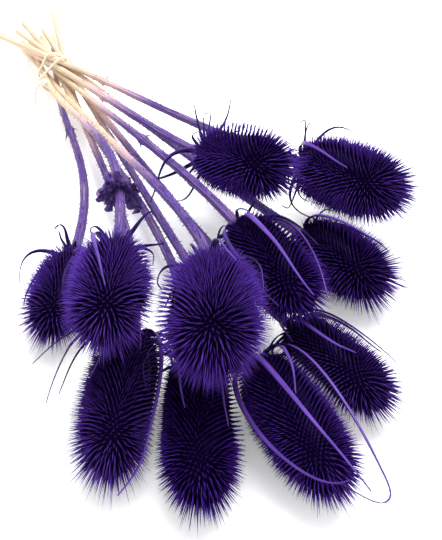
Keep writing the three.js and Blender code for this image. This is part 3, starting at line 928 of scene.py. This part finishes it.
@dataclass
class Stem:
    """One teasel's stem: ribbed, prickly, with its joint, stubs and cut end."""

    teasel: Teasel
    tie_radius: float = 1.8
    neck_radius: float = 2.6
    widening_start: float = 0.25
    ribs: int = 9
    rib_depth: float = 0.12
    rib_twist: float = 1.5
    prickle_length: float = 1.7
    prickle_spacing: float = 4.5
    prickle_start: float = 25.0
    prickle_end: float = 0.985
    joint_swelling: float = 1.0
    joint_length: float = 2.6
    joint_groove: float = 0.3
    groove_length: float = 0.8
    stub_length: float = 6.0
    dye_fade: tuple[float, float] = (-35.0, 45.0)
    seed: int = 100
    steps: int = 150

    def __post_init__(self) -> None:
        """Works out the stem's line and starts its own random numbers."""
        self.random = np.random.default_rng(self.seed + self.teasel.number)
        self.line = self.teasel.stem_line(self.steps)
        self.length = path_length(self.line)
        self.share = np.linspace(0.0, 1.0, len(self.line))
        self.frame = path_frame(self.line, UP)

    def radius(self, share: Array) -> Array:
        """Gives the radius: even to the tie, then widening softly into the neck, swollen at the joint."""
        widening = smoothstep(self.widening_start, 1.0, share)
        plain = self.tie_radius + (self.neck_radius - self.tie_radius) * widening
        if self.teasel.joint:
            away = (share - self.teasel.joint) * self.length
            plain = plain + self.joint_swelling * np.exp(-(away / self.joint_length) ** 2)
            plain = plain - self.joint_groove * np.exp(-(away / self.groove_length) ** 2)
        return plain

    def gap(self, points: Array) -> Array:
        """Gives the gap from points to the stem's surface."""
        coarse = self.line[::2]
        distance = np.linalg.norm(points[:, None] - coarse[None], axis=-1) - self.radius(self.share[::2])
        return distance.min(axis=1)

    def dye(self, share: Array) -> Array:
        """Gives how far the dye shows: none at the cut end, full towards the head."""
        past_straw = share * self.length - self.teasel.butt - self.teasel.look.straw
        return smoothstep(*self.dye_fade, past_straw)

    def place(self, share: Array, turn: Array) -> tuple[Array, Array, Array]:
        """Gives points on the middle line with their outward and forward directions.

        Args:
            share: Shares of the stem's length.
            turn: Angles round the stem.

        Returns:
            Points, outward and forward unit vectors.
        """
        forward, sideways, upward = (read_between(share, self.share, part) for part in self.frame)
        middle = read_between(share, self.share, self.line)
        outward = unit(sideways * np.cos(turn)[..., None] + upward * np.sin(turn)[..., None])
        return middle, outward, unit(forward)

    def values(self, share: Array, turn: Array, rib: Array) -> dict[str, Array]:
        """Gives the values that the stem's finish reads, all of one shape."""
        shape = np.broadcast(share, turn, rib).shape
        return {"along": np.broadcast_to(share * self.length, shape),
                "round": np.broadcast_to(np.cos(turn), shape), "rib": np.broadcast_to(rib, shape),
                "dye": np.broadcast_to(self.dye(share), shape),
                "tone": np.full(shape, self.teasel.number / len(TEASELS))}

    def shaft(self) -> Surface:
        """Gives the shaft: the radius less a furrow between the ribs, which turn slowly along it.

        Two more rings inside the cut end make its rim and its sunken pith.

        Returns:
            The shaft's surface.
        """
        share = np.concatenate([[0.004, 0.0, 0.0], self.share[1:]])
        scale = np.concatenate([[0.45, 0.7, 1.0], np.ones(len(self.line) - 1)])
        turn = full_circle(5 * self.ribs)[None]
        phase = self.ribs * turn + self.rib_twist * share[:, None]
        # rib shapes the ribs and also paints them: painted highlight on the ribs, painted shade in the
        # furrows.
        rib = (0.5 + 0.5 * np.cos(phase)) ** 0.8
        knobbly = 1 + 0.03 * np.sin(share * 37 + self.teasel.number)[:, None]
        knobbly = knobbly + 0.025 * np.sin(share[:, None] * 90 + 2 * turn)
        radius = (self.radius(share) * scale)[:, None] * (1 - self.rib_depth * (1 - rib)) * knobbly
        middle, outward, _ = self.place(*np.broadcast_arrays(share[:, None], turn))
        rings = middle + outward * radius[..., None]
        return Surface.tubes(rings[None], {
            name: value[None] for name, value in self.values(share[:, None], turn, rib).items()})

    def thorns(self, share: Array, turn: Array, length: Array, half: Array, lean: Array) -> Surface:
        """Gives cones that stand on the stem and hook towards the head.

        Args:
            share: Where each stands along the stem.
            turn: Where each stands round it.
            length: How far each stands out.
            half: Half of each one's width at the root.
            lean: How far each leans towards the head, in radians.

        Returns:
            The cones as one surface.
        """
        middle, outward, forward = self.place(share, turn)
        along = np.array([0.0, 0.35, 0.7, 1.0])
        width = half[:, None] * np.array([1.0, 0.55, 0.25, 0.06])
        direction = outward * np.cos(lean)[:, None] + forward * np.sin(lean)[:, None]
        root = middle + outward * (0.8 * self.radius(share))[:, None]
        line = (root[:, None] + direction[:, None] * (length[:, None] * along)[..., None]
                + forward[:, None] * (0.25 * length[:, None] * along ** 2)[..., None])
        sideways = np.cross(outward, forward)
        corner = np.array([[1.0, 0.0], [0.0, 1.0], [-1.0, 0.0], [0.0, -1.0]])
        ring = sideways[:, None] * corner[:, :1] + forward[:, None] * corner[:, 1:]
        rings = line[:, :, None] + width[..., None, None] * ring[:, None]
        fading = 0.5 - 0.5 * along[None, :, None]
        return Surface.tubes(rings, self.values(share[:, None, None], turn[:, None, None], fading))

    def prickles(self) -> Surface:
        """Gives the prickles: in rows on the ribs from the tie to the neck, denser towards the head."""
        start = (self.teasel.butt + self.prickle_start) / self.length
        rows = int((1 - start) * self.length / self.prickle_spacing)
        row = np.arange(rows)[:, None] + self.random.uniform(0, 1, (rows, self.ribs))
        share = (start + (self.prickle_end - start) * row / rows).ravel()
        turn = np.tile(full_circle(self.ribs), rows) - self.rib_twist * share / self.ribs
        kept = self.random.uniform(0, 1, len(share)) < 0.35 + 0.65 * share
        share, turn = share[kept], turn[kept]
        length = self.prickle_length * self.random.uniform(0.5, 1.25, len(share)) + 0.2 * self.radius(share)
        return self.thorns(share, turn, length, 0.26 + 0.2 * self.random.uniform(0, 1, len(share)),
                           self.random.normal(-0.1, 0.25, len(share)))

    def stubs(self) -> Surface:
        """Gives the stubs of two side shoots and the dried leaf scraps between them, at the joint."""
        turn = np.array([0.9, 0.9 + math.pi, 2.4, 2.2 + math.pi])
        length = np.array([1.0, 0.9, 0.6, 0.5]) * self.stub_length
        half, lean = np.array([1.0, 1.0, 1.3, 1.2]), np.array([0.9, 0.9, 0.5, 1.1])
        return self.thorns(np.full(len(turn), self.teasel.joint), turn, length, half, lean)

    def build(self) -> None:
        """Makes the stem's piece, which replaces the solid."""
        parts = [self.shaft(), self.prickles()]
        if self.teasel.joint:
            parts.append(self.stubs())
        label = self.teasel.label
        add_piece(Surface.joined(parts).as_object(f"stem_{label}", STEMS.material()),
                  f"teasel_stem_{label}")


@dataclass
class LeafCup:
    """The dried, crumpled leaf bases that cup one stem."""

    stem: Stem
    share: float = 0.83
    leaves: int = 7
    length: float = 18.0
    half_width: float = 5.2
    thickness: float = 0.3
    sizes: tuple[float, float] = (0.45, 1.15)
    flares: tuple[float, float] = (4.0, 12.5)
    curls: tuple[float, float] = (-0.15, 0.8)
    raggedness: float = 0.34
    fold_depth: float = 2.4
    # How much lighter the folds are painted than the painted shade in their creases and at the stem.
    painted_fold_contrast: float = 0.9
    seed: int = 300

    def leaf(self, index: int, random: np.random.Generator) -> Surface:
        """Gives one leaf base: a curled blade with a ragged, waved edge.

        Its middle line is a cubic curve that leaves the stem and flares. The half width swells and is cut by
        a sine of several waves. The blade lifts at its edges with the square of the distance across, and
        folds with the size of a sine. Its colour is painted shade in the creases and near the stem and
        lighter on the folds.

        Args:
            index: Which leaf it is.
            random: The cup's random numbers.

        Returns:
            The leaf's surface.
        """
        turn = np.array([(index + 0.5) / self.leaves * FULL_TURN + random.normal(0, 0.2)])
        middle, outward, forward = (part[0] for part in self.stem.place(np.array([self.share]), turn))
        size = self.length * random.uniform(*self.sizes)
        flare, curl = random.uniform(*self.flares), random.uniform(*self.curls)
        line = even_along(bezier(middle + outward * 1.6 - forward * 0.2 * size, middle + outward * 3.4,
                                 middle + outward * flare + forward * 0.35 * size,
                                 middle + outward * flare * 0.9 + forward * curl * size, 60), 26)
        share = np.linspace(0, 1, len(line))[:, None]
        across = np.linspace(-1, 1, 15)
        loop = np.concatenate([across, across[::-1]])[None]
        face = np.repeat([1.0, -1.0], len(across))[None]
        _, sideways, out = path_frame(line, np.cross(outward, forward))
        ragged = 1 + self.raggedness * np.sin(share * random.uniform(18, 26) + loop * 2) * share
        half = self.half_width * (0.45 + 1.5 * share * (1 - share) + 0.15 * share) * ragged
        fold = np.abs(np.sin(loop * 4 + share * 7 + index))
        crumple = (self.fold_depth * (fold - 0.5) + 0.9 * np.sin(share * 17 + loop * 3)) * share
        lift = -0.3 * self.half_width * loop ** 2 * (1 - 0.5 * share) + crumple + face * self.thickness
        rings = (line[:, None] + sideways[:, None] * (half * loop)[..., None]
                 - out[:, None] * lift[..., None])
        # Painted light on the folds: painted shade in the creases and near the stem, lighter on the folds.
        painted_fold_light = self.painted_fold_contrast * fold ** 2 * share
        values = self.stem.values(np.full(rings.shape[:2], self.share), loop, painted_fold_light)
        return Surface.tubes(rings[None], {name: value[None] for name, value in values.items()})

    def build(self) -> None:
        """Makes the cup's piece."""
        random = np.random.default_rng(self.seed)
        cup = Surface.joined([self.leaf(index, random) for index in range(self.leaves)])
        add_piece(cup.as_object("leaf_cup", STEMS.material()))


@dataclass
class Tie:
    """The string wound round the stems, its knot and its hanging end."""

    teasels: list[Teasel]
    radius: float = 0.8
    turns: float = 2.4
    pitch: float = 8.0
    clearance: float = 0.8
    stem_radius: float = 1.8
    start: float = 0.75 * math.pi
    twist: float = 1.1
    ply_depth: float = 0.24
    smoothing: int = 9
    knot_size: float = 0.62
    tail_length: float = 15.0

    def wound(self, steps: int) -> Array:
        """Gives the taut string's line: at each turn it rests on the outermost stem in that direction."""
        turns = np.linspace(0, self.turns, steps)
        angle = self.start + turns * FULL_TURN
        y = TIE_CENTRE[1] + (turns - self.turns / 2) * self.pitch
        direction = np.stack([np.cos(angle), 0 * angle, np.sin(angle)], -1)
        candidates = []
        for teasel in self.teasels:
            slot = teasel.slot_point()
            towards = unit(np.array(teasel.foot) - slot)
            out = self.stem_radius / abs(towards[1]) + self.radius + self.clearance
            candidates.append(slot + towards * ((y - slot[1]) / towards[1])[:, None] + direction * out)
        candidates = np.stack(candidates)
        outermost = (candidates * direction).sum(-1).argmax(0)
        path = candidates[outermost, np.arange(steps)]
        soft = np.ones(self.smoothing) / self.smoothing
        margin = self.smoothing // 2
        padded = np.pad(path, ((margin, margin), (0, 0)), mode="edge")
        return np.stack([np.convolve(padded[:, k], soft, mode="valid") for k in range(3)], -1)

    def string(self, line: Array, across: Array) -> Surface:
        """Gives a twisted string along a line: its radius swells over two plies that turn along it.

        Args:
            line: The string's middle line.
            across: The direction that its sideways direction keeps closest to.

        Returns:
            The string's surface.
        """
        angle = full_circle(16)[None]
        travelled = np.linspace(0, path_length(line), len(line))[:, None]
        ply = np.abs(np.cos(angle - self.twist * travelled)) ** 0.7
        _, sideways, outward = path_frame(line, across)
        ring = sideways[:, None] * np.cos(angle)[..., None] + outward[:, None] * np.sin(angle)[..., None]
        rings = line[:, None] + ring * (self.radius * (1 - self.ply_depth * (1 - ply)))[..., None]
        return Surface.tubes(rings[None], {"ply": ply[None]})

    def knot(self, place: Array) -> Surface:
        """Gives the knot: the string on a small trefoil line."""
        t = np.linspace(0, FULL_TURN * 0.97, 120)
        line = np.stack([np.sin(t) + 2 * np.sin(2 * t), np.cos(t) - 2 * np.cos(2 * t),
                         -1.3 * np.sin(3 * t)], -1)
        return self.string(place + self.knot_size * line, np.array([0.3, 0.5, 0.8]))

    def build(self) -> None:
        """Makes the tie's piece, which replaces the solid."""
        line = self.wound(560)
        start = line[0]
        tail = bezier(start, start + np.array([-5.0, -1.0, 1.0]), start + np.array([-8.5, -4.0, -2.0]),
                      start + np.array([-8.0, -5.0, 3.0 - self.tail_length]), 60)
        level = np.array([0.0, 1.0, 0.0])
        parts = [self.string(line, level), self.string(even_along(tail, 60), level), self.knot(start)]
        made = Surface.joined(parts).as_object("tie_string", STRING.material())
        add_piece(made, "tie")


@dataclass
class Studio:
    """The pale floor, soft light and the camera at the photograph's angle."""

    width: int = 442
    height: int = 540
    focal_pixels: float = 1040.0
    azimuth: float = -25.0
    elevation: float = 45.0
    distance: float = 520.0
    target: tuple[float, float, float] = (0.0, 0.0, 25.0)
    sensor_width: float = 36.0
    floor_size: float = 12.0
    floor_grey: float = 0.9
    floor_glow: float = 0.22
    floor_roughness: float = 0.8
    sky_strength: float = 1.05

    def camera(self) -> None:
        """Places the camera on its line of sight to the target."""
        azimuth, elevation = math.radians(self.azimuth), math.radians(self.elevation)
        back = np.array([math.sin(azimuth) * math.cos(elevation), -math.cos(azimuth) * math.cos(elevation),
                         math.sin(elevation)])
        place = (np.array(self.target) - BOX_CENTRE + back * self.distance) * MM
        data = bpy.data.cameras.new("camera")
        data.sensor_width = self.sensor_width
        data.lens = self.focal_pixels / max(self.width, self.height) * data.sensor_width
        data.clip_start = 0.01
        camera = in_scene("camera", data)
        camera.location = place
        camera.rotation_euler = (math.pi / 2 - elevation, 0.0, azimuth)
        bpy.context.scene.camera = camera

    def floor(self) -> None:
        """Makes the pale floor, which glows a little as if lit from below, so that shadows stay faint."""
        half = self.floor_size / 2
        mesh = bpy.data.meshes.new("floor")
        corners = [(-half, -half, 0), (half, -half, 0), (half, half, 0), (-half, half, 0)]
        mesh.from_pydata(corners, [], [(0, 1, 2, 3)])
        pale = bpy.data.materials.new("pale_floor")
        pale.use_nodes = True
        shader = pale.node_tree.nodes["Principled BSDF"]
        shader.inputs["Base Color"].default_value = (self.floor_grey, self.floor_grey, self.floor_grey, 1.0)
        shader.inputs["Roughness"].default_value = self.floor_roughness
        shader.inputs["Emission Color"].default_value = (1.0, 1.0, 1.0, 1.0)
        shader.inputs["Emission Strength"].default_value = self.floor_glow
        mesh.materials.append(pale)
        in_scene("floor", mesh)

    def light(self, name: str, place: tuple[float, float, float], size: float, power: float) -> None:
        """Hangs a square soft light that points at the bunch.

        Args:
            name: The light's name.
            place: Where it hangs, in metres.
            size: Its side, in metres.
            power: Its power in watts.
        """
        data = bpy.data.lights.new(name, "AREA")
        data.size = size
        data.energy = power
        lamp = in_scene(name, data)
        x, y, z = place
        lamp.location = place
        lamp.rotation_euler = (math.atan2(math.hypot(x, y), z), 0.0, math.atan2(x, -y))

    def build(self) -> None:
        """Sets up the floor, the lights and the camera."""
        scene = bpy.context.scene
        scene.view_settings.view_transform = "Standard"
        world = bpy.data.worlds.new("studio")
        world.use_nodes = True
        background = world.node_tree.nodes["Background"]
        background.inputs["Color"].default_value = (1.0, 1.0, 1.0, 1.0)
        background.inputs["Strength"].default_value = self.sky_strength
        scene.world = world
        self.floor()
        self.light("overhead", (0.4, 0.3, 1.25), size=0.9, power=28.0)
        self.light("front_fill", (-0.5, -1.0, 0.9), size=0.8, power=3.0)
        self.camera()


def bract_rows(*rows: tuple[float, ...]) -> tuple[Bract, ...]:
    """Gives bracts from rows of turn, drift, belly, tip distance, reach and, if set, lateness and hook."""
    return tuple(Bract(*row) for row in rows)


TEASELS = [
    Teasel(
        number=1, foot=(24.5, 74.5, 37), heading=26, pitch=16, length=64, radius=21,
        slot=(-0.9, 5.9), butt=64, bend=0.4, joint=0.56,
        look=Look(straw=45, pale=0.15, painted_foot_shade=0, tuft=12, shag=1.5),
        bracts=bract_rows(
            (28, -3, 1.1, 1.18, -0.17), (73, -15, 1.28, 1.1, -0.22), (78, -20, 1.14, 1.64, 0),
            (-49, -58, 1.05, 1.87, -0.13), (-114, 26, 1.45, 1.07, -0.35), (-178, 43, 1.48, 1.37, -0.25))),
    Teasel(
        number=2, foot=(72.5, 51.5, 31), heading=28, pitch=8, length=72, radius=21.5,
        slot=(1.8, 9.1), butt=52, bend=1.4, joint=0.38,
        look=Look(straw=45, pale=0.25, painted_foot_shade=0, tuft=14, shag=2),
        bracts=bract_rows(
            (-5, -38, 1.08, 1.19, 0.56), (73, -15, 1.47, 1.15, 0.29), (60, -14, 1.28, 0.95, -0.15),
            (-122, 0, 1.37, 1.2, 0.46), (-177, 25, 1.44, 1.26, -0.07), (130, 10, 1.25, 1.3, 0.5))),
    Teasel(
        number=3, foot=(54.5, 12.5, 16), heading=17, pitch=4, length=66, radius=19.5,
        slot=(4.3, 5.9), butt=50, bend=0.8, joint=0,
        look=Look(straw=50, pale=0.15, painted_foot_shade=1.8, tuft=14, shag=2),
        bracts=bract_rows(
            (0, 20, 1.2, 1, 0.7), (85, 0, 1.1, 1.1, 0.6), (-60, 0, 1.15, 1.05, 0.5))),
    Teasel(
        number=4, foot=(13.5, 5.5, 43), heading=4, pitch=2, length=68, radius=20.5,
        slot=(-0.4, 1.7), butt=52, bend=0.85, joint=0.61,
        look=Look(straw=55, pale=0.05, painted_foot_shade=1.8, tuft=10, shag=0.5),
        bracts=bract_rows(
            (1, -19, 1.06, 1.16, 1.12), (85, -79, 1.42, 0.8, 1.11), (-85, 41, 1.26, 0.92, 0.72),
            (-51, -17, 1.17, 0.84, 0.9), (75, 0, 1.15, 1.1, 0.55))),
    Teasel(
        number=5, foot=(-62, 50, 15), heading=-33, pitch=2, length=62, radius=17.5,
        slot=(-2.1, -7.1), butt=58, bend=1.4, joint=0.49,
        look=Look(straw=5, pale=0.3, painted_foot_shade=0.6, tuft=11, shag=1.5),
        bracts=bract_rows(
            (-75, 2, 1.54, 1.12, 0.48), (-7, -20, 1.33, 1, -0.05), (30, 0, 1.1, 1, 0.5),
            (-110, 0, 1.15, 1.1, 0.5))),
    Teasel(
        number=6, foot=(-51.5, 5.5, 55.5), heading=-27, pitch=4, length=66, radius=20.5,
        slot=(-8.9, -0.1), butt=66, bend=1.5, joint=0,
        look=Look(straw=75, pale=0.3, painted_foot_shade=0, tuft=12, shag=2),
        bracts=bract_rows(
            (-38, 44, 1.17, 1.01, 0.73), (98, -1, 1.21, 0.96, -0.16), (47, 16, 1.2, 0.8, -0.27),
            (-95, 0, 1.1, 1.05, 0.4))),
    Teasel(
        number=7, foot=(-17.5, -27, 54.5), heading=-24, pitch=12, length=72, radius=24,
        slot=(-5, -4.2), butt=66, bend=0.64, joint=0.47,
        look=Look(straw=110, pale=0.2, painted_foot_shade=0, tuft=13, shag=2.5),
        bracts=bract_rows(
            (-70, 0, 1.1, 1, 0.4), (60, 0, 1.1, 1, 0.4), (0, 20, 1.1, 1, 0.35))),
    Teasel(
        number=8, foot=(-54.5, -16.5, 18), heading=-30, pitch=0, length=87, radius=20,
        slot=(6.3, -6.9), butt=90, bend=0.93, joint=0,
        look=Look(straw=60, pale=0.3, painted_foot_shade=1.2, tuft=12, shag=1),
        bracts=bract_rows(
            (-51, -20, 1.15, 2.1, 0.36), (-46, -23, 1.49, 1.6, 0.61), (-74, -2, 1.16, 1.36, 0.55),
            (49, -1, 1.5, 1.03, 1.17), (-20, -5, 1.1, 1.05, 0.48), (72, 5, 1.3, 1.2, 0.39),
            (95, 0, 1.2, 1.1, 0.56))),
    Teasel(
        number=9, foot=(-34, -44.6, 19), heading=-22, pitch=0, length=84, radius=21,
        slot=(0.9, -2), butt=50, bend=0.97, joint=0.54,
        look=Look(straw=60, pale=0.0, painted_foot_shade=2.2, tuft=11, shag=0),
        bracts=bract_rows(
            (30, 0, 1.1, 1, 0.6), (-20, 0, 1.1, 1, 0.5), (-60, -8, 1.4, 1.15, 0.25),
            (-40, -20, 1.2, 1.25, 0.1))),
    Teasel(
        number=10, foot=(-9.5, -57.5, 19), heading=2, pitch=0, length=83, radius=21,
        slot=(8.4, -3.2), butt=60, bend=0.81, joint=0,
        look=Look(straw=55, pale=0.1, painted_foot_shade=1.4, tuft=9.5, shag=0),
        bracts=bract_rows(
            (-14, 11, 1.15, 1.25, 1.16, 0.6, 0), (33, 9, 1.85, 0.55, 1.5, 0.6, -150),
            (-69, 57, 1.39, 1.31, 1.06, 0.1, 0), (42, -44, 1.11, 1.03, 0.46, 0.6, 0))),
    Teasel(
        number=11, foot=(18, -42, 17), heading=16, pitch=0, length=70, radius=18.5,
        slot=(4, 2.2), butt=62, bend=0.7, joint=0,
        look=Look(straw=60, pale=0.25, painted_foot_shade=1.2, tuft=11, shag=0),
        bracts=bract_rows(
            (-20, 10, 1.05, 0.9, 0.6, 0.6, 15), (40, 10, 1.05, 0.95, 0.8), (85, 0, 1.1, 1, 0.6))),
]
LEAF_CUP_TEASEL = 6


def main() -> None:
    """Builds the stems, the heads, the tie and the studio in order."""
    logging.basicConfig(level=logging.INFO, format="%(name)s: %(message)s")
    stems = [Stem(teasel) for teasel in TEASELS]
    for stem in stems:
        stem.build()
    for teasel in TEASELS:
        others = [other for other in TEASELS if other is not teasel]
        SeedHead(teasel, others, stems).build()
    LeafCup(stems[LEAF_CUP_TEASEL - 1]).build()
    Tie(TEASELS).build()
    Studio().build()


if __name__ == "__main__":
    main()
